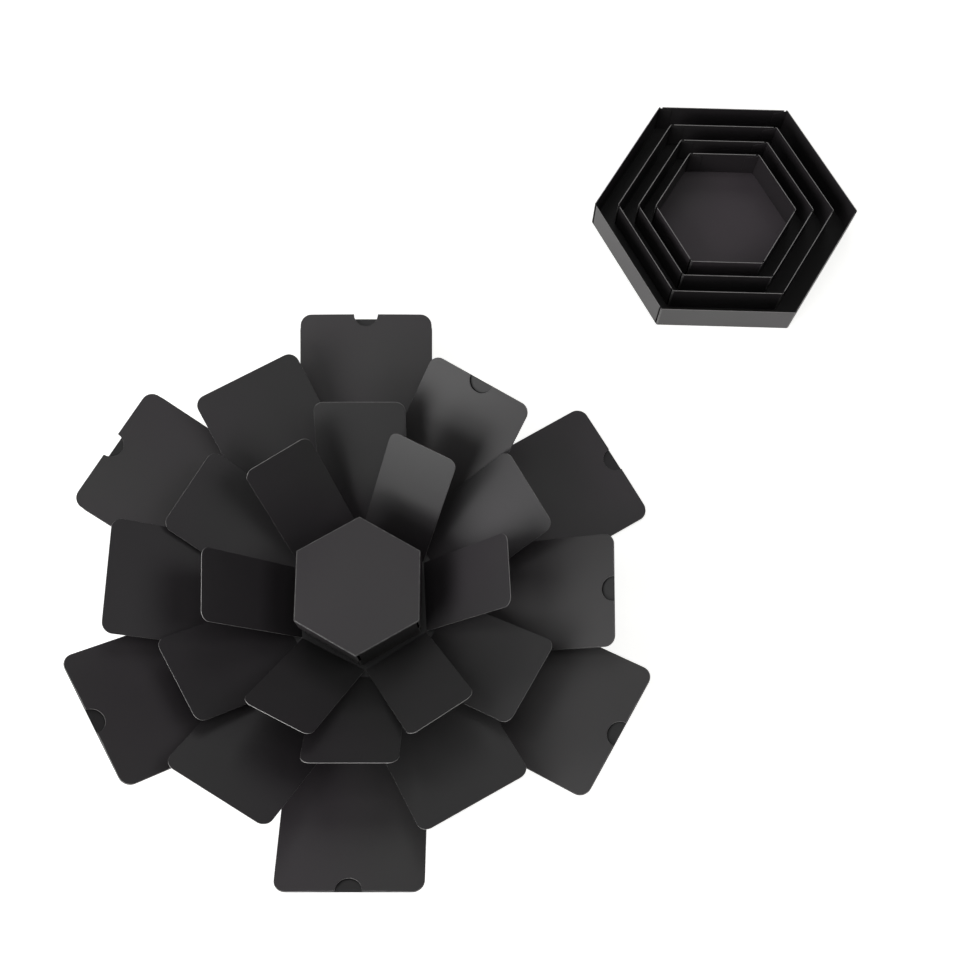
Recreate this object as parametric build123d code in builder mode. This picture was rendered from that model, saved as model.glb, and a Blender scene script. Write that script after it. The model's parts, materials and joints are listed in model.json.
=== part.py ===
"""Hexagonal explosion box in black card, opened out flat, with its four loose lids nested beside it.

Four glued hexagons carry six creased petals each, turned by half a side from layer to layer. A small box
with its own lid stands in the middle. Standing petals of one layer hold the closed layer inside it.
"""

from build123d import *

import math
import os

# Shape of the layers: six sides, and each layer turned so that its corners face the sides of the next
side_count = 6
side_angle = 360 / side_count
half_turn = side_angle / 2
corner_to_flat = math.cos(math.radians(half_turn))

# Card
board = 0.5

# Outermost layer, which sets every layer inside it
outer_side = 90.0
outer_petal_length = 117.5

# How much shorter the petals of each layer are than those of the layer outside it
petal_steps = (0, 10.5, 19.0, 4.0)

# Fits: a lid over its standing petals, and a lid's corners inside the standing petals of the next layer
lid_fit = 1.0
nest_gap = 1.5

# Petals: rounded outer corners by layer, and the slit between two neighbours at a corner of the base
petal_corner_radii = (7.5, 7.0, 6.5, 6.0)
petal_slit = 0.6

# Where the first petal of each layer points, with each layer a little off true as it was glued
glue_turns = (0, -1, 0, 3)
first_directions = (half_turn, 0, half_turn, 0)

# How far each petal stands up from the table at rest, in degrees, anticlockwise from the first
rest_tilts = (
    (1, 16, 21, 32, 23, 21),
    (24, 34, 26.5, 34, 33.5, 32),
    (32, 43.5, 31.5, 34, 46, 32.5),
    (50, 51.5, 52, 52.5, 48, 45),
)

# Photo pockets: a second ply glued on three edges, open at the tip, with a half-round notch for a thumb
pocketed_petals = ((1, 2, 3, 4, 5, 6), (1, 2), (), ())
pocket_margin = 6.0
pocket_side_inset = 0.3
notch_radius = 8.0

# Petals whose own ply stops short of the pocket's, so that the notch shows through
short_petals = ((2, 3), (), (), ())
short_ply_setback = 3.0

# Lids: folded trays with glued corner tabs
lid_height = 24.0
tab_width = 9.0
tab_drop = 1.5
tab_slope = 3.0
seam_width = 0.3

# Small box in the middle, with its lid on
centre_gap = 1.4
centre_height = 40.0
centre_lid_height = 20.0
centre_lid_fit = 0.3
centre_tab_width = 7.0

# Where the nest of loose lids stands, from the tips of the flat petals to the nearest lid corner
nest_space = 86.0
nest_bearing = 48.0
nest_turn = -1.7

# One overrun for all cuts
overrun = 2.0

layer_count = len(rest_tilts)

# Hinge line of each layer, from the centre: the lid outside a layer's petals fits inside the next ones
apothems = [outer_side * corner_to_flat]
for _ in range(1, layer_count):
    clear_corner = apothems[-1] - board - nest_gap
    apothems.append(clear_corner * corner_to_flat - 2 * board - lid_fit)

petal_lengths = [outer_petal_length]
for step in petal_steps[1:]:
    petal_lengths.append(petal_lengths[-1] - step)

# Lids of the four layers, measured to their outer faces, and the small box clear of its lid's tabs
lid_apothems = [apothem + board + lid_fit + board for apothem in apothems]
centre_lid_apothem = apothems[-1] - centre_gap
centre_box_apothem = centre_lid_apothem - 2 * board - centre_lid_fit

nest_distance = apothems[0] + outer_petal_length + nest_space + lid_apothems[0] / corner_to_flat
nest_x = nest_distance * math.cos(math.radians(nest_bearing))
nest_y = nest_distance * math.sin(math.radians(nest_bearing))


def base_bottom(layer):
    """Height of a layer's underside: the hexagons are glued one on another."""
    return layer * board


def petal_direction(layer, petal):
    """Compass angle in which a petal opens, from +X."""
    return first_directions[layer] + glue_turns[layer] + petal * side_angle


def petal_width(layer):
    """Petals are a slit narrower than their side of the hexagon."""
    return 2 * apothems[layer] * math.tan(math.radians(half_turn)) - petal_slit


def petal_plane(layer, petal):
    """Plane of a petal's inner face, with its origin on the crease and x out along the petal."""
    direction = math.radians(petal_direction(layer, petal))
    tilt = math.radians(rest_tilts[layer][petal])
    east, north = math.cos(direction), math.sin(direction)
    return Plane(
        origin=(apothems[layer] * east, apothems[layer] * north, base_bottom(layer) + board),
        x_dir=(math.cos(tilt) * east, math.cos(tilt) * north, math.sin(tilt)),
        z_dir=(-math.sin(tilt) * east, -math.sin(tilt) * north, math.cos(tilt)),
    )


def base_sheet(layer):
    """Hexagon at the foot of a layer."""
    with BuildPart() as sheet:
        with BuildSketch(Plane.XY.offset(base_bottom(layer))):
            turn = petal_direction(layer, 0) - half_turn
            RegularPolygon(apothems[layer], side_count, major_radius=False, rotation=turn)
        extrude(amount=board)
    return sheet.part


def tongue(plane, start, end, width, radius, thickness, notch=None):
    """Sheet along a petal from start to end, its two outer corners rounded, with a notch in its tip if given."""
    with BuildPart() as sheet:
        with BuildSketch(plane):
            with BuildLine():
                FilletPolyline(
                    (start, -width / 2),
                    (end, -width / 2),
                    (end, width / 2),
                    (start, width / 2),
                    radius=radius,
                )
                Line((start, width / 2), (start, -width / 2))
            make_face()
            if notch:
                with Locations((end, 0)):
                    Circle(notch, mode=Mode.SUBTRACT)
        extrude(amount=thickness)
    return sheet.part


def petal_sheet(layer, petal):
    """Petal, hinged along the top edge of its base so that it can stand upright."""
    length = petal_lengths[layer]
    if petal + 1 in short_petals[layer]:
        length -= short_ply_setback
    plane = petal_plane(layer, petal)
    return tongue(plane, 0, length, petal_width(layer), petal_corner_radii[layer], -board)


def pocket_sheet(layer, petal):
    """Pocket ply on a petal's inner face, with the thumb notch in its open edge."""
    width = petal_width(layer) - 2 * pocket_side_inset
    radius = petal_corner_radii[layer]
    plane = petal_plane(layer, petal)
    return tongue(plane, pocket_margin, petal_lengths[layer], width, radius, board, notch_radius)


def folded_tray(place, turn, apothem, height, tab, tabs_on_odd):
    """Hexagonal tray folded from one sheet, its open side up, with glued tabs behind every other wall.

    place is the centre of its underside, apothem is measured to the outer faces, and the walls that
    hide the tabs are the first, third and fifth, or else the second, fourth and sixth.
    """
    inner = apothem - board
    half_wall = inner * math.tan(math.radians(half_turn))
    outer_half_wall = apothem * math.tan(math.radians(half_turn))
    hem = board * math.tan(math.radians(half_turn))
    tab_top = height - board - tab_drop
    with BuildPart() as tray:
        with BuildSketch(Plane(place)):
            RegularPolygon(apothem, side_count, major_radius=False, rotation=turn)
        extrude(amount=height)
        with BuildSketch(Plane(place).offset(board)):
            RegularPolygon(inner, side_count, major_radius=False, rotation=turn)
        extrude(amount=height, mode=Mode.SUBTRACT)
        for wall in range(0 if tabs_on_odd else 1, side_count, 2):
            direction = math.radians(turn + half_turn + wall * side_angle)
            east, north = math.cos(direction), math.sin(direction)
            inner_face = Plane(
                origin=(place.X + inner * east, place.Y + inner * north, place.Z + board),
                x_dir=(north, -east, 0),
                z_dir=(-east, -north, 0),
            )
            for end in (-1, 1):
                corner = end * (half_wall + hem)
                flap = end * (half_wall - tab)
                with BuildSketch(inner_face):
                    with BuildLine():
                        Polyline(
                            (corner, 0),
                            (corner, tab_top),
                            (flap, tab_top - tab_slope),
                            (flap, tab_slope),
                            (corner, 0),
                        )
                    make_face()
                extrude(amount=board)
            with BuildSketch(inner_face):
                for end in (-1, 1):
                    seam = end * (outer_half_wall - board - seam_width / 2)
                    with Locations((seam, height / 2)):
                        Rectangle(seam_width, height)
            extrude(amount=-(board + overrun), mode=Mode.SUBTRACT)
    return tray.part


def write(sheet, name):
    """Label one finished piece and write its file."""
    sheet.label = name
    export_step(sheet, f"parts/{name}.step")


os.makedirs("parts", exist_ok=True)

# Opened layers
for layer in range(layer_count):
    write(base_sheet(layer), f"layer_{layer + 1}_base")
    for petal in range(side_count):
        write(petal_sheet(layer, petal), f"layer_{layer + 1}_petal_{petal + 1}")
        if petal + 1 in pocketed_petals[layer]:
            write(pocket_sheet(layer, petal), f"layer_{layer + 1}_pocket_{petal + 1}")

# Small box and its lid in the middle
centre_bottom = base_bottom(layer_count)
box_height = centre_height - board
centre_turn = half_turn
write(
    folded_tray(Vector(0, 0, centre_bottom), centre_turn, centre_box_apothem, box_height, centre_tab_width, False),
    "centre_box",
)
lid_blank = folded_tray(Vector(0, 0, 0), centre_turn, centre_lid_apothem, centre_lid_height, centre_tab_width, True)
lid_place = Plane(origin=(0, 0, centre_bottom + centre_height), x_dir=(1, 0, 0), z_dir=(0, 0, -1))
write(lid_place * lid_blank, "centre_lid")

# Loose lids, nested with their rims level
for layer in range(layer_count):
    seat = Vector(nest_x, nest_y, base_bottom(layer))
    depth = lid_height - base_bottom(layer)
    write(folded_tray(seat, nest_turn, lid_apothems[layer], depth, tab_width, False), f"lid_{layer + 1}")
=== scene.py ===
"""Looks of a hexagonal explosion box: black card petals, pockets, small box and nested lids round the CAD."""

import json
import math

import bmesh
import bpy
from bpy.props import FloatProperty, FloatVectorProperty, IntProperty, PointerProperty
from mathutils import Matrix, Vector

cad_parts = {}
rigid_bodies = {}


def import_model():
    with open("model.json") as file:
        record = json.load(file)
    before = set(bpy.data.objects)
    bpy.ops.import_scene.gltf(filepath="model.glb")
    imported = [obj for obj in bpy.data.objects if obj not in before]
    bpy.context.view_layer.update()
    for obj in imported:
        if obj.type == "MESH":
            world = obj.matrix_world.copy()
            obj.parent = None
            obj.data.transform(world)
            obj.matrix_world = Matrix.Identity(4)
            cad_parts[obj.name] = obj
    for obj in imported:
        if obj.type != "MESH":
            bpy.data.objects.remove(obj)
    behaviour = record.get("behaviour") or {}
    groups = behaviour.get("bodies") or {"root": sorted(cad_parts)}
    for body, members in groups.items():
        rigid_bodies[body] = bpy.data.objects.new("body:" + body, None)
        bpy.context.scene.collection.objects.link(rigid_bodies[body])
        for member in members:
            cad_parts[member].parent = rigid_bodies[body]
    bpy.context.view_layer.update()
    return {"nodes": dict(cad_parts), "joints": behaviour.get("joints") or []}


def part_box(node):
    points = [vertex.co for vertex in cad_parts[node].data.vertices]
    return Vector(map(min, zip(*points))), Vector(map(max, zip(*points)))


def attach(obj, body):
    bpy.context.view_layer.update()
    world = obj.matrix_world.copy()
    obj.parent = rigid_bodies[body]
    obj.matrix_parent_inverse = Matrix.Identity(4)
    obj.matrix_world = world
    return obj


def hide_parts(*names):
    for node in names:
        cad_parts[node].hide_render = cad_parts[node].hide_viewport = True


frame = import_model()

bl_info = {
    "name": "Explosion box",
    "version": (1, 0, 0),
    "blender": (4, 5, 0),
    "location": "View3D > Sidebar > Explosion Box",
    "description": "Builds the card pieces of a hexagonal explosion box",
    "category": "Object",
}

UP = Vector((0, 0, 1))
WHITE = (1, 1, 1, 1)

# Shape of the box
LAYERS = (1, 2, 3, 4)
SIDES = 6
SIDE_ANGLE = math.tau / SIDES
HALF_SIDE = SIDE_ANGLE / 2

# Compass angle of the first wall of each folded tray that hides glued tabs; every second wall does
TABBED_WALL = {
    "lid_1": 90,
    "lid_2": 90,
    "lid_3": 90,
    "lid_4": 90,
    "centre_box": 0,
    "centre_lid": 60,
}

# How squarely a face has to look one way to count as looking that way, from the loosest to the strictest
ROUGHLY = 0.5
NEARLY = 0.9
FLATLY = 0.95
SQUARELY = 0.99

# A face this far off level or off a wall's own direction belongs to a rounded fold
OFF_LEVEL = 0.05
OFF_WALL = math.radians(2)

# Shares of the card's thickness: within which two places count as one, and that a base's folds are rounded by
SAME_PLACE = 0.25
BASE_ROUNDING = 0.98

# From a tray's closed end, in thicknesses of the card: to where its seams start, and past its inner side
SEAM_FOOT = 2
PAST_FLOOR = 1.5

# Between a tray's floor and what stands on it
FLOOR_CLEARANCE = 0.00002

# Height of the cylinder that cuts a thumb notch
CUTTER_HEIGHT = 0.01

# Decimals to which lengths in metres, and parts of a direction, are compared
LENGTH_DECIMALS = 5
DIRECTION_DECIMALS = 1

# Edges that bend more than this are drawn sharp, and those of a cut sheet that bend more are rounded
SMOOTH_ANGLE = math.radians(40)
CUT_ANGLE = math.radians(50)

# Shares of painted shade, a deep black laid where the lids' insides lie in shade: outside, on the inside of
# the walls and on the inner floor
LID_PAINTED_SHADES = {
    1: (0.0, 0.4, 0.8),
    2: (0.4, 0.4, 0.8),
    3: (0.4, 0.4, 0.8),
    4: (0.3, 0.65, 0.0),
}
# No painted shade at all
NO_PAINTED_SHADE = (0.0, 0.0, 0.0)

# Painted shade on the bases where the layers overlap, on a petal that its pocket covers and in an open seam
BASE_PAINTED_SHADE = 0.75
UNDER_POCKET_PAINTED_SHADE = 0.45
SEAM_PAINTED_SHADE = 1.0

# From this share of painted shade on, a face is dull as well as black, and takes the painted shade card's own
# material
DULL_PAINTED_SHADE = 0.9

# How pale a tray's rim is beside the cut edge of a petal, in its pale core and painted highlight
RIM_PALENESS = 0.7

# Tint over the card's own colour, and gloss, for each piece's card; the pocket, box and small lid cards are
# lighter copies of the one card, painted light where more light falls on them
CARDS = {
    "Layer card": ((1.0, 0.985, 1.0), 0.5),
    "Pocket card": ((1.28, 1.24, 1.26), 0.5),
    "Box card": ((1.2, 1.17, 1.18), 0.5),
    "Lid card": ((1.04, 1.0, 1.02), 0.5),
    "Small lid card": ((1.75, 1.62, 1.7), 0.5),
    "Lining card": ((1.0, 1.0, 1.0), 0.0),
}

# Scales of what shows in the card: tooth, short fibres lying two ways, cloudy tone, slow drift, worn edges
TOOTH_SCALE = 3200.0
FIBRE_SCALE = (500.0, 2600.0, 2600.0)
FIBRE_TURNS = (0.5, 2.1)
CLOUD_SCALE = 22.0
DRIFT_SCALE = 9.0
WEAR_SCALE = 260.0

# Shares that the fibres and the tooth have in the height of the grain
FIBRE_HEIGHT = 0.6
TOOTH_HEIGHT = 0.4

# Soft square lamps round one focus: name, compass angle, height angle, width in metres and power in watts
LAMP_FOCUS = Vector((0.1, 0.08, 0.0))
LAMP_DISTANCE = 1.8
LAMPS = (
    ("left_front_low", 222, 13, 1.0, 10.0),
    ("left_front", 217, 29, 1.2, 13.0),
    ("left_high", 178, 44, 1.2, 4.3),
    ("right_high", 0, 42, 1.2, 3.9),
    ("back", 95, 34, 1.2, 4.0),
    ("overhead", 90, 88, 1.2, 3.4),
)

# Camera of the photograph: its place, its tilt off straight down, the width of its film in millimetres,
# how far up its picture is shifted, and the nearest that it sees
CAMERA_PLACE = (0.07715, -0.17803, 0.77630)
CAMERA_TILT = math.radians(14.84)
CAMERA_FILM = 36
CAMERA_SHIFT = 80 / 960
CAMERA_NEAR = 0.01

# Floor: its width, its middle a hair below the object, and how strongly and in what white it shows
FLOOR_WIDTH = 8
FLOOR_PLACE = (0.1, 0.1, -0.0002)
FLOOR_GLOW = 0.8
FLOOR_GLOW_COLOUR = (1, 1, 0.985, 1)


class CardSizes(bpy.types.PropertyGroup):
    """Sizes of the card and of its cut and folded edges."""

    board: FloatProperty(name="Board", description="Thickness of the card", default=0.0005, unit="LENGTH")
    cut_round: FloatProperty(
        name="Cut rounding", description="Rounding of a cut edge", default=0.0001, unit="LENGTH"
    )
    fold_round: FloatProperty(
        name="Fold rounding", description="Outer rounding of a fold", default=0.0008, unit="LENGTH"
    )
    fold_steps: IntProperty(name="Fold steps", description="Segments of a rounded fold", default=4)
    corner_radii: FloatVectorProperty(
        name="Corner radii",
        description="Rounded outer corners of the petals and pockets, by layer",
        size=4,
        default=(0.0075, 0.007, 0.0065, 0.006),
        unit="LENGTH",
    )
    corner_steps: IntProperty(name="Corner steps", description="Segments of a rounded corner", default=10)
    notch: FloatProperty(name="Notch", description="Radius of a thumb notch", default=0.008, unit="LENGTH")
    notch_steps: IntProperty(name="Notch steps", description="Segments of a notch's full circle", default=64)
    gape: FloatProperty(
        name="Gape", description="How far a pocket's mouth stands open", default=0.0013, unit="LENGTH"
    )
    gape_steps: IntProperty(name="Gape steps", description="Strips that a gaping ply is cut into", default=12)
    tab: FloatProperty(name="Tab", description="Width of a glued corner tab", default=0.009, unit="LENGTH")
    tab_drop: FloatProperty(
        name="Tab drop", description="From a rim down to its tabs", default=0.0002, unit="LENGTH"
    )
    tab_slope: FloatProperty(
        name="Tab slope", description="Taper of a tab's ends", default=0.003, unit="LENGTH"
    )
    tab_corner: FloatProperty(
        name="Tab corner", description="Rounding of a tab's corners", default=0.0008, unit="LENGTH"
    )
    seam: FloatProperty(name="Seam", description="Open seam beside a corner", default=0.0014, unit="LENGTH")
    seam_inset: FloatProperty(
        name="Seam inset", description="From a corner to its seam", default=0.0009, unit="LENGTH"
    )


class CardColours(bpy.types.PropertyGroup):
    """Colours and roughness of the card."""

    card: FloatVectorProperty(
        name="Card", description="Face of the card", subtype="COLOR", size=3, default=(0.0485, 0.0465, 0.0475)
    )
    card_dark: FloatVectorProperty(
        name="Dark fibre",
        description="Darker fibres in the card",
        subtype="COLOR",
        size=3,
        default=(0.0425, 0.0410, 0.0425),
    )
    # Cut edge: partly a paler core, partly a painted highlight on every cut rim
    cut: FloatVectorProperty(
        name="Cut edge",
        description="Paler cut edge of the card",
        subtype="COLOR",
        size=3,
        default=(0.48, 0.47, 0.465),
    )
    # Fold: partly rubbed wear, partly a painted highlight on every fold
    fold: FloatVectorProperty(
        name="Fold",
        description="Rubbed outside of a fold",
        subtype="COLOR",
        size=3,
        default=(0.17, 0.168, 0.166),
    )
    # Painted shade: a deep black laid where shade falls, on insides, seams, bases and under the pockets
    lining: FloatVectorProperty(
        name="Painted shade",
        description="Deep black of the inside",
        subtype="COLOR",
        size=3,
        default=(0.006, 0.006, 0.006),
    )
    roughness: FloatProperty(
        name="Roughness", description="Roughness of the card", default=0.45, subtype="FACTOR"
    )
    grain: FloatProperty(
        name="Grain", description="Height of the card's grain", default=0.00001, unit="LENGTH"
    )
    grain_strength: FloatProperty(
        name="Grain strength", description="How much of the grain shows", default=0.6, subtype="FACTOR"
    )


class StageSettings(bpy.types.PropertyGroup):
    """Camera, lights and floor."""

    lens: FloatProperty(name="Lens", description="Focal length of the camera in millimetres", default=45.0)
    floor: FloatVectorProperty(
        name="Floor", description="Colour of the floor", subtype="COLOR", size=3, default=(0.80, 0.80, 0.79)
    )
    lamps: FloatProperty(name="Lamps", description="Strength of all the soft lamps together", default=1.0)
    sky: FloatProperty(name="Sky", description="Strength of the level light all round", default=0.02)


def sizes():
    """The card's sizes as they are set in the panel."""
    return bpy.context.scene.card_sizes


def colours():
    """The card's colours as they are set in the panel."""
    return bpy.context.scene.card_colours


# Modelling helpers


def start_clean():
    """Object mode with nothing selected."""
    if bpy.context.object and bpy.context.object.mode != "OBJECT":
        bpy.ops.object.mode_set(mode="OBJECT")
    bpy.ops.object.select_all(action="DESELECT")


def take(piece):
    """Select one piece alone and make it the active one."""
    start_clean()
    piece.select_set(True)
    bpy.context.view_layer.objects.active = piece


def made(name):
    """The object an operator just added, renamed."""
    piece = bpy.context.object
    piece.name = name
    piece.data.name = name
    return piece


def edit(piece, kind):
    """Edit mode on one piece, with nothing in it selected."""
    take(piece)
    bpy.ops.object.mode_set(mode="EDIT")
    bpy.ops.mesh.select_mode(type=kind)
    bpy.ops.mesh.select_all(action="DESELECT")


def done():
    """Back to object mode."""
    bpy.ops.object.mode_set(mode="OBJECT")


def pick(piece, kind, test):
    """Select the vertices, edges or faces that pass a test; none at all is an error."""
    bpy.ops.mesh.select_mode(type=kind)
    bpy.ops.mesh.select_all(action="DESELECT")
    mesh = bmesh.from_edit_mesh(piece.data)
    mesh.normal_update()
    items = {"VERT": mesh.verts, "EDGE": mesh.edges, "FACE": mesh.faces}[kind]
    found = [item for item in items if test(item)]
    if not found:
        raise RuntimeError(f"nothing to select on {piece.name}")
    for item in found:
        item.select_set(True)
    bmesh.update_edit_mesh(piece.data)


def apply_place(piece):
    """Move the object's place into its mesh."""
    take(piece)
    bpy.ops.object.transform_apply(location=True, rotation=True, scale=True)
    return piece


def apply_modifier(piece, kind, **settings):
    """Add one modifier, set it and apply it."""
    take(piece)
    modifier = piece.modifiers.new(kind.lower(), kind)
    for key, value in settings.items():
        setattr(modifier, key, value)
    bpy.ops.object.modifier_apply(modifier=modifier.name)


def copy_of(master, name):
    """A copy of a finished master with its own mesh."""
    piece = master.copy()
    piece.data = master.data.copy()
    piece.name = name
    piece.data.name = name
    bpy.context.scene.collection.objects.link(piece)
    return piece


def remove(pieces):
    """Delete masters and cutters that have done their work."""
    for piece in pieces:
        bpy.data.objects.remove(piece)


def placed(piece, place):
    """Move a piece's mesh to its place in the frame."""
    piece.data.transform(place)
    piece.data.update()
    return piece


def thicken(piece):
    """Give a flat sheet its thickness below it, with its rim in the second of two empty material slots."""
    while len(piece.data.materials) < 2:
        piece.data.materials.append(None)
    apply_modifier(
        piece, "SOLIDIFY", thickness=sizes().board, offset=-1, use_even_offset=True, material_offset_rim=1
    )


def is_cut(face):
    """A face of the cut rim, which thickening left in the second material slot."""
    return face.material_index > 0


def mark(piece, name, share_of):
    """Write a number from 0 to 1 for every face, as share_of gives it, under the attribute name."""
    layer = piece.data.attributes.get(name) or piece.data.attributes.new(name, "FLOAT", "FACE")
    layer.data.foreach_set("value", [float(share_of(face)) for face in piece.data.polygons])


def settle(piece, card, body, slot, *nodes):
    """Smooth, paint and hand a finished piece to the body it rides on."""
    take(piece)
    bpy.ops.object.shade_smooth_by_angle(angle=SMOOTH_ANGLE)
    apply_modifier(piece, "WEIGHTED_NORMAL", weight=100, keep_sharp=True)
    piece.data.materials.clear()
    piece.data.materials.append(card_material(card))
    # Faces deep in painted shade take the dull black painted shade card
    piece.data.materials.append(card_material("Lining card"))
    painted_shades = [share.value for share in piece.data.attributes["lining"].data]
    for face, depth in zip(piece.data.polygons, painted_shades):
        face.material_index = 1 if depth > DULL_PAINTED_SHADE else 0
    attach(piece, body)
    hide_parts(*nodes)


# Places, read from the CAD


def body_of(node):
    """The CAD body that a node belongs to."""
    return frame["nodes"][node].parent.name.split(":", 1)[1]


def points_of(node):
    """All corners of a CAD node's mesh."""
    return [vertex.co.copy() for vertex in frame["nodes"][node].data.vertices]


def petal_place(node):
    """Place of a petal: its origin on the crease, x out along it, z out of its inner face."""
    joint = next(joint for joint in frame["joints"] if joint["child"] == node)
    across = -Vector(joint["axis"])
    upward = [face for face in frame["nodes"][node].data.polygons if face.normal.z > 0]
    up = max(upward, key=lambda face: face.area).normal.normalized()
    along = across.cross(up).normalized()
    place = Matrix((along, across, up)).transposed().to_4x4()
    place.translation = Vector(joint["pos_m"])
    return place


def span_on(node, place):
    """A node's lowest and highest corner in a petal's own place."""
    back = place.inverted()
    points = [back @ point for point in points_of(node)]
    low = Vector(min(point[axis] for point in points) for axis in range(3))
    high = Vector(max(point[axis] for point in points) for axis in range(3))
    return low, high


def hexagon_of(node):
    """Middle, corner radius, corner angle, and lowest and highest point of a hexagonal CAD node."""
    low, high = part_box(node)
    middle = (low + high) / 2
    far = max(points_of(node), key=lambda point: (point - middle).xy.length)
    out = (far - middle).xy
    return middle, out.length, math.atan2(out.y, out.x), low.z, high.z


def wall_axes(direction):
    """The way out of a wall that looks in a compass direction, and the way along it."""
    out = Vector((math.cos(direction), math.sin(direction), 0))
    return out, Vector((-out.y, out.x, 0))


class TrayShape:
    """Where a folded tray of the CAD is, which way it opens, and which of its walls hide tabs."""

    def __init__(self, node, upside_down):
        self.middle, self.radius, self.corner, self.low, self.high = hexagon_of(node)
        self.apothem = self.radius * math.cos(HALF_SIDE)
        self.half_side = self.radius * math.sin(HALF_SIDE)
        self.height = self.high - self.low
        self.closed, self.opened = (self.high, self.low) if upside_down else (self.low, self.high)
        self.inward = -1 if upside_down else 1
        first = math.radians(TABBED_WALL[node])
        first += math.remainder(self.corner + HALF_SIDE - first, SIDE_ANGLE)
        self.tabbed = [first + pair * 2 * SIDE_ANGLE for pair in range(SIDES // 2)]


# Node groups and materials


def new_group(name, inputs, outputs):
    """A shader node group with named sockets, and its two end nodes."""
    tree = bpy.data.node_groups.new(name, "ShaderNodeTree")
    for label, kind, default in inputs:
        socket = tree.interface.new_socket(name=label, in_out="INPUT", socket_type=kind)
        if default is not None:
            socket.default_value = default
    for label, kind in outputs:
        tree.interface.new_socket(name=label, in_out="OUTPUT", socket_type=kind)
    start = tree.nodes.new("NodeGroupInput")
    end = tree.nodes.new("NodeGroupOutput")
    return tree, start.outputs, end.inputs


def ranged(tree, value, low, high, to_low=0.0, to_high=1.0):
    """A Map Range node on one value."""
    node = tree.nodes.new("ShaderNodeMapRange")
    node.inputs["From Min"].default_value = low
    node.inputs["From Max"].default_value = high
    node.inputs["To Min"].default_value = to_low
    node.inputs["To Max"].default_value = to_high
    tree.links.new(value, node.inputs["Value"])
    return node.outputs["Result"]


def worked_out(tree, operation, first, second):
    """A Math node on two values, each a socket or a number."""
    node = tree.nodes.new("ShaderNodeMath")
    node.operation = operation
    for socket, value in zip(node.inputs, (first, second)):
        if isinstance(value, (int, float)):
            socket.default_value = value
        else:
            tree.links.new(value, socket)
    return node.outputs["Value"]


def blended(tree, factor, first, second, blend_type="MIX"):
    """A colour Mix node, with a socket or a number for its factor."""
    node = tree.nodes.new("ShaderNodeMix")
    node.data_type = "RGBA"
    node.blend_type = blend_type
    if isinstance(factor, float):
        node.inputs["Factor"].default_value = factor
    else:
        tree.links.new(factor, node.inputs["Factor"])
    tree.links.new(first, node.inputs["A"])
    tree.links.new(second, node.inputs["B"])
    return node.outputs["Result"]


def noise(tree, vector, scale, detail, roughness):
    """A Noise Texture's value."""
    node = tree.nodes.new("ShaderNodeTexNoise")
    node.inputs["Scale"].default_value = scale
    node.inputs["Detail"].default_value = detail
    node.inputs["Roughness"].default_value = roughness
    tree.links.new(vector, node.inputs["Vector"])
    return node.outputs["Fac"]


def fibre_group():
    """Grain of dyed card: fine tooth, short fibres lying one way and the other, and slow cloudy tone."""
    tree, given, result = new_group(
        "Card fibre",
        [
            ("Vector", "NodeSocketVector", None),
            ("Light", "NodeSocketColor", (0.05, 0.05, 0.05, 1)),
            ("Dark", "NodeSocketColor", (0.03, 0.03, 0.03, 1)),
            ("Warm tint", "NodeSocketColor", (1.0, 0.95, 1.0, 1)),
            ("Green tint", "NodeSocketColor", (0.97, 1.0, 0.97, 1)),
            ("Roughness", "NodeSocketFloat", 0.7),
        ],
        [("Color", "NodeSocketColor"), ("Roughness", "NodeSocketFloat"), ("Height", "NodeSocketFloat")],
    )
    vector = given["Vector"]
    tooth = noise(tree, vector, TOOTH_SCALE, detail=3.0, roughness=0.6)
    fibres = []
    for turn in FIBRE_TURNS:
        mapping = tree.nodes.new("ShaderNodeMapping")
        mapping.inputs["Rotation"].default_value = (0.0, 0.0, turn)
        mapping.inputs["Scale"].default_value = FIBRE_SCALE
        tree.links.new(vector, mapping.inputs["Vector"])
        fibres.append(noise(tree, mapping.outputs["Vector"], scale=1.0, detail=2.0, roughness=0.6))
    strands = worked_out(tree, "MAXIMUM", *fibres)
    cloud = noise(tree, vector, CLOUD_SCALE, detail=2.0, roughness=0.5)
    speck = ranged(tree, strands, low=0.48, high=0.78)
    specks_and_clouds = worked_out(tree, "ADD", speck, ranged(tree, cloud, low=0.3, high=0.7))
    tone = worked_out(tree, "MULTIPLY", specks_and_clouds, 0.5)
    drift = ranged(tree, noise(tree, vector, DRIFT_SCALE, detail=1.0, roughness=0.4), low=0.4, high=0.6)
    tint = blended(tree, drift, given["Warm tint"], given["Green tint"])
    dye = blended(tree, tone, given["Dark"], given["Light"])
    tree.links.new(blended(tree, 1.0, dye, tint, "MULTIPLY"), result["Color"])
    unevenness = ranged(tree, cloud, low=0.3, high=0.7, to_low=-0.02, to_high=0.02)
    tree.links.new(worked_out(tree, "ADD", given["Roughness"], unevenness), result["Roughness"])
    strand_height = worked_out(tree, "MULTIPLY", strands, FIBRE_HEIGHT)
    tooth_height = worked_out(tree, "MULTIPLY", tooth, TOOTH_HEIGHT)
    tree.links.new(worked_out(tree, "ADD", strand_height, tooth_height), result["Height"])
    return tree


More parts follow.
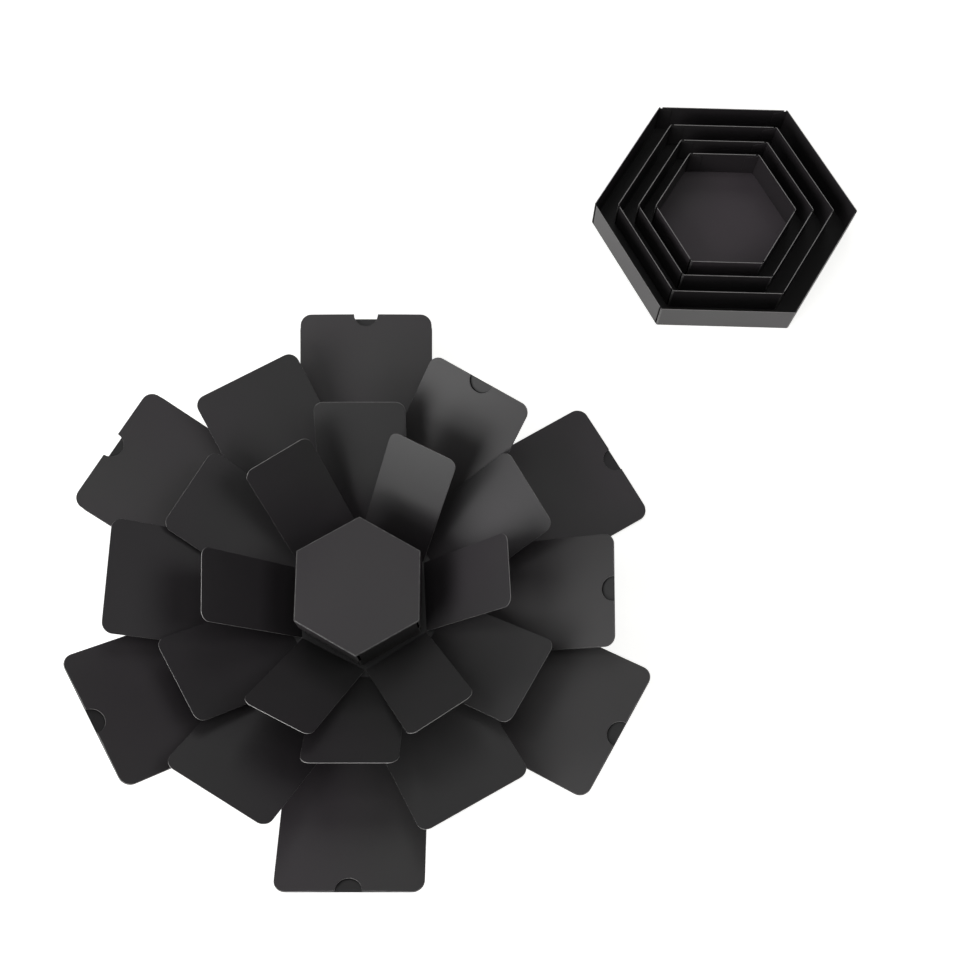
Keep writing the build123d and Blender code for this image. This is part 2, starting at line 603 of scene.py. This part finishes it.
def wear_and_painted_light_group():
    """Cut edges show a paler core with painted highlight and folds are rubbed with painted highlight, both
    unevenly, and painted shade lays a deeper black.
    """
    tree, given, result = new_group(
        "Edge wear",
        [
            ("Vector", "NodeSocketVector", None),
            ("Color", "NodeSocketColor", (0.05, 0.05, 0.05, 1)),
            ("Cut color", "NodeSocketColor", (0.3, 0.3, 0.3, 1)),
            ("Fold color", "NodeSocketColor", (0.12, 0.12, 0.12, 1)),
            ("Lining color", "NodeSocketColor", (0.01, 0.01, 0.01, 1)),
            ("Cut mask", "NodeSocketFloat", 0.0),
            ("Fold mask", "NodeSocketFloat", 0.0),
            ("Lining mask", "NodeSocketFloat", 0.0),
        ],
        [("Color", "NodeSocketColor")],
    )
    uneven = noise(tree, given["Vector"], WEAR_SCALE, detail=3.0, roughness=0.6)
    # Cut edges: pale core and painted highlight; folds: rubbing and painted highlight
    on_cut = ranged(tree, uneven, low=0.25, high=0.6, to_low=0.65, to_high=1.0)
    on_fold = ranged(tree, uneven, low=0.35, high=0.65, to_low=0.35, to_high=1.0)
    cut = worked_out(tree, "MULTIPLY", given["Cut mask"], on_cut)
    fold = worked_out(tree, "MULTIPLY", given["Fold mask"], on_fold)
    # Painted shade: a deep black where shade falls
    shaded_dark = blended(tree, given["Lining mask"], given["Color"], given["Lining color"])
    folded = blended(tree, fold, shaded_dark, given["Fold color"])
    tree.links.new(blended(tree, cut, folded, given["Cut color"]), result["Color"])
    return tree


def group_node(tree, group):
    """A shader node group placed in a material."""
    node = tree.nodes.new("ShaderNodeGroup")
    node.node_tree = group
    return node


def card_material(name):
    """Satin black card of one of the kinds in CARDS, which shows its cut edges and folds with painted
    highlight, and its painted shade.
    """
    found = bpy.data.materials.get(name)
    if found:
        return found
    tint, gloss = CARDS[name]
    settings = colours()
    material = bpy.data.materials.new(name)
    material.use_nodes = True
    tree = material.node_tree
    shader = tree.nodes["Principled BSDF"]
    shader.inputs["Specular IOR Level"].default_value = gloss
    place = tree.nodes.new("ShaderNodeTexCoord").outputs["Object"]

    grain = group_node(tree, bpy.data.node_groups.get("Card fibre") or fibre_group())
    for label, colour in (("Light", settings.card), ("Dark", settings.card_dark)):
        grain.inputs[label].default_value = (*[part * share for part, share in zip(colour, tint)], 1)
    grain.inputs["Roughness"].default_value = settings.roughness
    tree.links.new(place, grain.inputs["Vector"])

    edges = group_node(tree, bpy.data.node_groups.get("Edge wear") or wear_and_painted_light_group())
    edges.inputs["Cut color"].default_value = (*settings.cut, 1)
    edges.inputs["Fold color"].default_value = (*settings.fold, 1)
    edges.inputs["Lining color"].default_value = (*settings.lining, 1)
    tree.links.new(place, edges.inputs["Vector"])
    tree.links.new(grain.outputs["Color"], edges.inputs["Color"])
    for mask, label in (("cut_edge", "Cut mask"), ("fold_edge", "Fold mask"), ("lining", "Lining mask")):
        attribute = tree.nodes.new("ShaderNodeAttribute")
        attribute.attribute_name = mask
        tree.links.new(attribute.outputs["Fac"], edges.inputs[label])

    bump = tree.nodes.new("ShaderNodeBump")
    bump.inputs["Strength"].default_value = settings.grain_strength
    bump.inputs["Distance"].default_value = settings.grain
    tree.links.new(grain.outputs["Height"], bump.inputs["Height"])
    tree.links.new(edges.outputs["Color"], shader.inputs["Base Color"])
    tree.links.new(grain.outputs["Roughness"], shader.inputs["Roughness"])
    tree.links.new(bump.outputs["Normal"], shader.inputs["Normal"])
    return material


# Petals and pockets


def soften_cuts(piece):
    """Round the edges of the cut rim a little, and write the three masks."""
    apply_modifier(
        piece,
        "BEVEL",
        width=sizes().cut_round,
        segments=2,
        limit_method="ANGLE",
        angle_limit=CUT_ANGLE,
        harden_normals=False,
        use_clamp_overlap=True,
    )
    mark(piece, "cut_edge", is_cut)
    mark(piece, "fold_edge", lambda face: 0)
    mark(piece, "lining", lambda face: 0)


def tongue(name, start, end, width, radius, notched):
    """A card tongue from start to end along x, with round outer corners and a thumb notch where asked."""
    size = sizes()
    middle = ((start + end) / 2, 0, 0)
    start_clean()
    bpy.ops.mesh.primitive_plane_add(size=1, location=middle)
    piece = made(name)
    edit(piece, "VERT")
    bpy.ops.mesh.select_all(action="SELECT")
    bpy.ops.transform.resize(value=(end - start, width, 1), center_override=middle)
    pick(piece, "VERT", lambda vertex: vertex.co.x > 0)
    bpy.ops.mesh.bevel(offset=radius, segments=size.corner_steps, affect="VERTICES", clamp_overlap=False)
    done()
    apply_place(piece)
    thicken(piece)
    if notched:
        start_clean()
        bpy.ops.mesh.primitive_cylinder_add(
            vertices=size.notch_steps, radius=size.notch, depth=CUTTER_HEIGHT, location=(end, 0, 0)
        )
        cutter = made("notch_cutter")
        apply_modifier(piece, "BOOLEAN", object=cutter, operation="DIFFERENCE", solver="EXACT")
        remove([cutter])
        for face in piece.data.polygons:
            face.material_index = 0 if abs(face.normal.z) > NEARLY else 1
    soften_cuts(piece)
    return piece


def shade_under_pocket(piece, start):
    """Split the inner face at the foot of the pocket and paint shade on what the pocket covers, which shows
    dark in the notch.
    """
    edit(piece, "FACE")
    pick(piece, "FACE", lambda face: face.normal.z > SQUARELY)
    bpy.ops.mesh.bisect(plane_co=(start, 0, 0), plane_no=(1, 0, 0))
    done()
    mark(piece, "lining", lambda face: UNDER_POCKET_PAINTED_SHADE * (face.normal.z > SQUARELY and face.center.x > start))


def gape(piece, start, end, width):
    """Let the open mouth of a pocket ply stand a little off its petal, arched between the glued edges."""
    size = sizes()
    cuts = []
    for step in range(1, size.gape_steps):
        share = step / size.gape_steps
        cuts.append(((start + (end - start) * share, 0, 0), (1, 0, 0)))
        cuts.append(((0, width * (share - 0.5), 0), (0, 1, 0)))
    for place, across in cuts:
        edit(piece, "FACE")
        bpy.ops.mesh.select_all(action="SELECT")
        bpy.ops.mesh.bisect(plane_co=place, plane_no=across)
    done()
    for vertex in piece.data.vertices:
        along = (vertex.co.x - start) / (end - start)
        across = 2 * vertex.co.y / width
        vertex.co.z += size.gape * along**2 * (1 - across**2)
    mark(piece, "cut_edge", is_cut)


class EXPLOSION_OT_petals(bpy.types.Operator):
    """Build the creased petals of the four layers."""

    bl_idname = "explosion.petals"
    bl_label = "Petals"

    def execute(self, context):
        masters = {}
        for layer in LAYERS:
            for number in range(1, SIDES + 1):
                node = f"layer_{layer}_petal_{number}"
                place = petal_place(node)
                low, high = span_on(node, place)
                pocket = node.replace("petal", "pocket")
                key = (layer, round(high.x, LENGTH_DECIMALS), pocket in frame["nodes"])
                if key not in masters:
                    radius = sizes().corner_radii[layer - 1]
                    masters[key] = tongue("petal_master", 0, high.x, high.y - low.y, radius, False)
                    if pocket in frame["nodes"]:
                        shade_under_pocket(masters[key], span_on(pocket, place)[0].x)
                piece = placed(copy_of(masters[key], f"card_{node}"), place)
                settle(piece, "Layer card", body_of(node), "layer_card", node)
        remove(masters.values())
        return {"FINISHED"}


class EXPLOSION_OT_pockets(bpy.types.Operator):
    """Build the pocket plies with their thumb notches."""

    bl_idname = "explosion.pockets"
    bl_label = "Pockets"

    def execute(self, context):
        masters = {}
        for node in sorted(name for name in frame["nodes"] if "_pocket_" in name):
            layer = int(node.split("_")[1])
            place = petal_place(node.replace("pocket", "petal"))
            low, high = span_on(node, place)
            width = high.y - low.y
            if layer not in masters:
                ply = tongue("pocket_master", low.x, high.x, width, sizes().corner_radii[layer - 1], True)
                gape(ply, low.x, high.x, width)
                masters[layer] = placed(ply, Matrix.Translation(UP * sizes().board))
            piece = placed(copy_of(masters[layer], f"card_{node}"), place)
            settle(piece, "Pocket card", body_of(node), "pocket_card", node)
        remove(masters.values())
        return {"FINISHED"}


# Bases and folded trays


def hexagon(name, middle, radius, corner, low, high):
    """A hexagonal prism with a corner at that compass angle."""
    start_clean()
    bpy.ops.mesh.primitive_cylinder_add(
        vertices=SIDES,
        radius=radius,
        depth=high - low,
        location=(middle.x, middle.y, (low + high) / 2),
        rotation=(0, 0, corner - math.pi / 2),
        end_fill_type="NGON",
    )
    return apply_place(made(name))


class EXPLOSION_OT_bases(bpy.types.Operator):
    """Build the hexagon at the foot of each layer, with the outside of its six folds rounded."""

    bl_idname = "explosion.bases"
    bl_label = "Bases"

    def execute(self, context):
        size = sizes()
        for layer in LAYERS:
            node = f"layer_{layer}_base"
            middle, radius, corner, low, high = hexagon_of(node)
            wider = radius + size.board / math.cos(HALF_SIDE)
            near_foot = low + size.board * SAME_PLACE
            piece = hexagon(f"card_{node}", middle, wider, corner, low, high)
            edit(piece, "EDGE")
            pick(piece, "EDGE", lambda edge: all(end.co.z < near_foot for end in edge.verts))
            bpy.ops.mesh.bevel(offset=size.board * BASE_ROUNDING, segments=size.fold_steps, affect="EDGES")
            done()
            mark(piece, "fold_edge", lambda face: abs(face.normal.z) <= FLATLY)
            # Painted shade on the level faces of the base, which lie in the shade of the layers
            mark(piece, "lining", lambda face: BASE_PAINTED_SHADE * (abs(face.normal.z) > FLATLY))
            settle(piece, "Layer card", body_of(node), "layer_card", node)
        return {"FINISHED"}


def cut_seams(piece, shape):
    """Open a seam beside both corners of each tabbed wall, from near the closed end to the rim."""
    size = sizes()
    foot = Vector((0, 0, shape.closed + shape.inward * SEAM_FOOT * size.board))
    for direction in shape.tabbed:
        out, across = wall_axes(direction)

        def on_wall(face):
            """A face of this wall."""
            return face.normal.dot(out) > SQUARELY

        def in_seam(face):
            """A strip of this wall beside one of its corners."""
            inset = shape.half_side - abs((face.calc_center_median() - shape.middle).dot(across))
            return on_wall(face) and 0 < inset - size.seam_inset < size.seam

        def above_foot(face):
            """The part of that strip that goes."""
            return in_seam(face) and abs(face.calc_center_median().z - shape.closed) > SEAM_FOOT * size.board

        for side in (-1, 1):
            for inset in (size.seam_inset, size.seam_inset + size.seam):
                edge_of_seam = shape.middle + across * side * (shape.half_side - inset)
                pick(piece, "FACE", on_wall)
                bpy.ops.mesh.bisect(plane_co=edge_of_seam, plane_no=across)
        pick(piece, "FACE", in_seam)
        bpy.ops.mesh.bisect(plane_co=foot, plane_no=UP)
        pick(piece, "FACE", above_foot)
        bpy.ops.mesh.delete(type="FACE")


def level_floor(piece, shape):
    """Make the inner side of the closed end level, a hair short of the card's thickness."""
    board = sizes().board
    floor = shape.closed + shape.inward * (board - FLOOR_CLEARANCE)
    for vertex in piece.data.vertices:
        if SAME_PLACE * board < abs(vertex.co.z - shape.closed) < PAST_FLOOR * board:
            vertex.co.z = floor


def round_folds(piece, shape):
    """Round the outer corners and the outer edges of the closed end."""
    size = sizes()
    near = size.board * SAME_PLACE

    def is_fold(edge):
        """An outer corner or an outer edge of the closed end."""
        ends = [end.co - shape.middle for end in edge.verts]
        upright = abs(ends[0].z - ends[1].z) > shape.height / 2
        corner = upright and all(end.xy.length > shape.radius - near for end in ends)
        closing = all(abs(end.co.z - shape.closed) < near for end in edge.verts)
        outside = len({round(face.normal.z, DIRECTION_DECIMALS) for face in edge.link_faces}) > 1
        return corner or (closing and outside)

    edit(piece, "EDGE")
    pick(piece, "EDGE", is_fold)
    bpy.ops.mesh.bevel(offset=size.fold_round, segments=size.fold_steps, affect="EDGES")
    done()


def paint_tray(piece, shape, painted_shades):
    """Mark a tray's rim, its rounded folds, and how much painted shade each face takes."""
    board = sizes().board
    outside, wall, floor = painted_shades

    def on_rim(face):
        """A face of the cut rim round the open end."""
        return is_cut(face) and abs(face.center.z - shape.opened) < board * SAME_PLACE

    def on_fold(face):
        """A face between two walls, or between a wall and the closed end, that faces neither way squarely."""
        level = abs(face.normal.z)
        if level > OFF_LEVEL:
            return level <= SQUARELY
        off = (math.atan2(face.normal.y, face.normal.x) - shape.corner - HALF_SIDE) % SIDE_ANGLE
        return OFF_WALL < off < SIDE_ANGLE - OFF_WALL

    def painted_shade_of(face):
        """Share of painted shade in a seam, outside, on the inside of a wall, or on the inner floor."""
        if is_cut(face) and not on_rim(face):
            return SEAM_PAINTED_SHADE
        if abs(face.normal.z) > ROUGHLY:
            between_ends = shape.low + board / 2 < face.center.z < shape.high - 2 * board
            return floor if between_ends else outside
        return wall if face.normal.xy.dot((face.center - shape.middle).xy) < 0 else outside

    mark(piece, "fold_edge", on_fold)
    mark(piece, "cut_edge", lambda face: RIM_PALENESS * on_rim(face))
    mark(piece, "lining", painted_shade_of)


def tab_plate(name, shape, direction, side, wall_painted_shade):
    """One glued tab on the inner face of a wall, at the end that side gives, painted with shade where its
    open seam shows it.
    """
    size = sizes()
    height = shape.height - size.board - size.tab_drop
    taper = (height - 2 * size.tab_slope) / height
    start_clean()
    bpy.ops.mesh.primitive_plane_add(size=1, location=(0, 0, 0))
    piece = made(name)
    edit(piece, "VERT")
    bpy.ops.mesh.select_all(action="SELECT")
    bpy.ops.transform.resize(value=(size.tab, height, 1), center_override=(0, 0, 0))
    pick(piece, "VERT", lambda vertex: vertex.co.x < 0)
    bpy.ops.transform.resize(value=(1, taper, 1), center_override=(0, 0, 0))
    bpy.ops.mesh.bevel(offset=size.tab_corner, segments=3, affect="VERTICES")
    done()
    thicken(piece)
    soften_cuts(piece)
    mark(piece, "cut_edge", lambda face: 0)

    out, along = wall_axes(direction)
    across = along * side
    normal = across.cross(UP)
    inner = shape.apothem - size.board
    face_depth = inner - size.board if normal.dot(out) < 0 else inner
    half_wall = inner * math.tan(HALF_SIDE)
    level = shape.closed + shape.inward * (size.board + height / 2)
    place = Matrix((across, UP, normal)).transposed().to_4x4()
    foot = Vector((shape.middle.x, shape.middle.y, level))
    place.translation = foot + out * face_depth + across * (half_wall - size.tab / 2)
    placed(piece, place)
    # Painted shade: the glued face seen through the seam is black, the rest as dark as the wall's inside
    mark(piece, "lining", lambda face: SEAM_PAINTED_SHADE if face.normal.dot(out) > NEARLY else wall_painted_shade)
    return piece


def tray(node, upside_down, painted_shades):
    """A hexagonal tray folded from one sheet, open at the top or the bottom, with as much painted shade as
    its shares ask.
    """
    name = f"card_{node}"
    board = sizes().board
    shape = TrayShape(node, upside_down)
    piece = hexagon(name, shape.middle, shape.radius, shape.corner, shape.low, shape.high)

    def at_open_end(face):
        """The end of the prism that isn't there on the tray."""
        return abs(face.normal.z) > NEARLY and abs(face.calc_center_median().z - shape.opened) < board

    edit(piece, "FACE")
    pick(piece, "FACE", at_open_end)
    bpy.ops.mesh.delete(type="FACE")
    cut_seams(piece, shape)
    done()
    thicken(piece)
    level_floor(piece, shape)
    round_folds(piece, shape)
    paint_tray(piece, shape, painted_shades)
    walls_painted_shade = painted_shades[1]
    tabs = [
        tab_plate(f"{name}_tab", shape, direction, side, walls_painted_shade)
        for direction in shape.tabbed
        for side in (-1, 1)
    ]
    take(piece)
    for tab in tabs:
        tab.select_set(True)
    bpy.ops.object.join()
    return piece


class EXPLOSION_OT_centre(bpy.types.Operator):
    """Build the small box in the middle and its lid."""

    bl_idname = "explosion.centre"
    bl_label = "Small box"

    def execute(self, context):
        for node, upside_down in (("centre_box", False), ("centre_lid", True)):
            settle(tray(node, upside_down, NO_PAINTED_SHADE), "Box card", body_of(node), "box_card", node)
        return {"FINISHED"}


class EXPLOSION_OT_lids(bpy.types.Operator):
    """Build the four loose lids that lie in one another."""

    bl_idname = "explosion.lids"
    bl_label = "Nested lids"

    def execute(self, context):
        for layer in LAYERS:
            node = f"lid_{layer}"
            # The small lid takes a paler copy of the card, painted light for its brighter floor
            card = "Small lid card" if layer == LAYERS[-1] else "Lid card"
            settle(tray(node, False, LID_PAINTED_SHADES[layer]), card, body_of(node), "lid_card", node)
        return {"FINISHED"}


# Stage


def seen_directly(tree, *ways):
    """1 for rays of the kinds named, and 0 for those that carry light to the object."""
    rays = tree.nodes.new("ShaderNodeLightPath")
    seen = rays.outputs[ways[0]]
    for way in ways[1:]:
        seen = worked_out(tree, "MAXIMUM", seen, rays.outputs[way])
    return seen


def lay_floor(settings):
    """A plain pale floor that shows white round the object and keeps its shadow."""
    start_clean()
    bpy.ops.mesh.primitive_plane_add(size=FLOOR_WIDTH, location=FLOOR_PLACE)
    floor = made("floor")
    material = bpy.data.materials.new("Pale floor")
    material.use_nodes = True
    tree = material.node_tree
    shader = tree.nodes["Principled BSDF"]
    shader.inputs["Base Color"].default_value = (*settings.floor, 1)
    shader.inputs["Roughness"].default_value = 0.9
    shader.inputs["Specular IOR Level"].default_value = 0.1
    shader.inputs["Emission Color"].default_value = FLOOR_GLOW_COLOUR
    seen = seen_directly(tree, "Is Camera Ray", "Is Glossy Ray", "Is Transmission Ray")
    tree.links.new(worked_out(tree, "MULTIPLY", seen, FLOOR_GLOW), shader.inputs["Emission Strength"])
    floor.data.materials.append(material)


def light_room(scene, settings):
    """Level light all round, which shows white behind the object."""
    world = bpy.data.worlds.new("Level light")
    scene.world = world
    world.use_nodes = True
    tree = world.node_tree
    back = tree.nodes["Background"]
    back.inputs["Color"].default_value = WHITE
    shown = seen_directly(tree, "Is Camera Ray", "Is Transmission Ray")
    strength = ranged(tree, shown, low=0.0, high=1.0, to_low=settings.sky, to_high=1.0)
    tree.links.new(strength, back.inputs["Strength"])


def hang_lamps(settings):
    """The soft square lamps, all aimed at the middle of the object."""
    for name, compass, height, width, power in LAMPS:
        flat, rise = math.radians(compass), math.radians(height)
        way = Vector((math.cos(rise) * math.cos(flat), math.cos(rise) * math.sin(flat), math.sin(rise)))
        start_clean()
        bpy.ops.object.light_add(type="AREA", location=LAMP_FOCUS + LAMP_DISTANCE * way)
        light = bpy.context.object
        light.name = name
        light.data.size = width
        light.data.energy = power * settings.lamps
        light.rotation_euler = (-way).to_track_quat("-Z", "Y").to_euler()


def set_camera(scene, settings):
    """The camera at the photograph's viewing angle."""
    start_clean()
    bpy.ops.object.camera_add(location=CAMERA_PLACE, rotation=(CAMERA_TILT, 0, 0))
    camera = bpy.context.object
    camera.data.sensor_width = CAMERA_FILM
    camera.data.lens = settings.lens
    camera.data.shift_y = CAMERA_SHIFT
    camera.data.clip_start = CAMERA_NEAR
    scene.camera = camera


class EXPLOSION_OT_stage(bpy.types.Operator):
    """Set up the floor, the soft lights and the camera."""

    bl_idname = "explosion.stage"
    bl_label = "Stage"

    def execute(self, context):
        scene = context.scene
        scene.view_settings.view_transform = "Standard"
        lay_floor(scene.stage_settings)
        light_room(scene, scene.stage_settings)
        hang_lamps(scene.stage_settings)
        set_camera(scene, scene.stage_settings)
        return {"FINISHED"}


class EXPLOSION_PT_panel(bpy.types.Panel):
    """Sidebar panel of the explosion box."""

    bl_idname = "EXPLOSION_PT_panel"
    bl_label = "Explosion box"
    bl_space_type = "VIEW_3D"
    bl_region_type = "UI"
    bl_category = "Explosion Box"

    def draw(self, context):
        layout = self.layout
        for operator in OPERATORS:
            layout.operator(operator.bl_idname)
        for group in (context.scene.card_sizes, context.scene.card_colours, context.scene.stage_settings):
            box = layout.box()
            for key in group.__annotations__:
                box.prop(group, key)


OPERATORS = (
    EXPLOSION_OT_bases,
    EXPLOSION_OT_petals,
    EXPLOSION_OT_pockets,
    EXPLOSION_OT_centre,
    EXPLOSION_OT_lids,
    EXPLOSION_OT_stage,
)
CLASSES = (CardSizes, CardColours, StageSettings, *OPERATORS, EXPLOSION_PT_panel)


def register():
    """Register the classes and hang their settings on the scene."""
    for cls in CLASSES:
        bpy.utils.register_class(cls)
    bpy.types.Scene.card_sizes = PointerProperty(type=CardSizes)
    bpy.types.Scene.card_colours = PointerProperty(type=CardColours)
    bpy.types.Scene.stage_settings = PointerProperty(type=StageSettings)


def unregister():
    """Undo what register does."""
    del bpy.types.Scene.stage_settings
    del bpy.types.Scene.card_colours
    del bpy.types.Scene.card_sizes
    for cls in reversed(CLASSES):
        bpy.utils.unregister_class(cls)


def main():
    """Build every piece and the stage."""
    register()
    for operator in OPERATORS:
        group, name = operator.bl_idname.split(".")
        getattr(getattr(bpy.ops, group), name)()


if __name__ == "__main__":
    main()
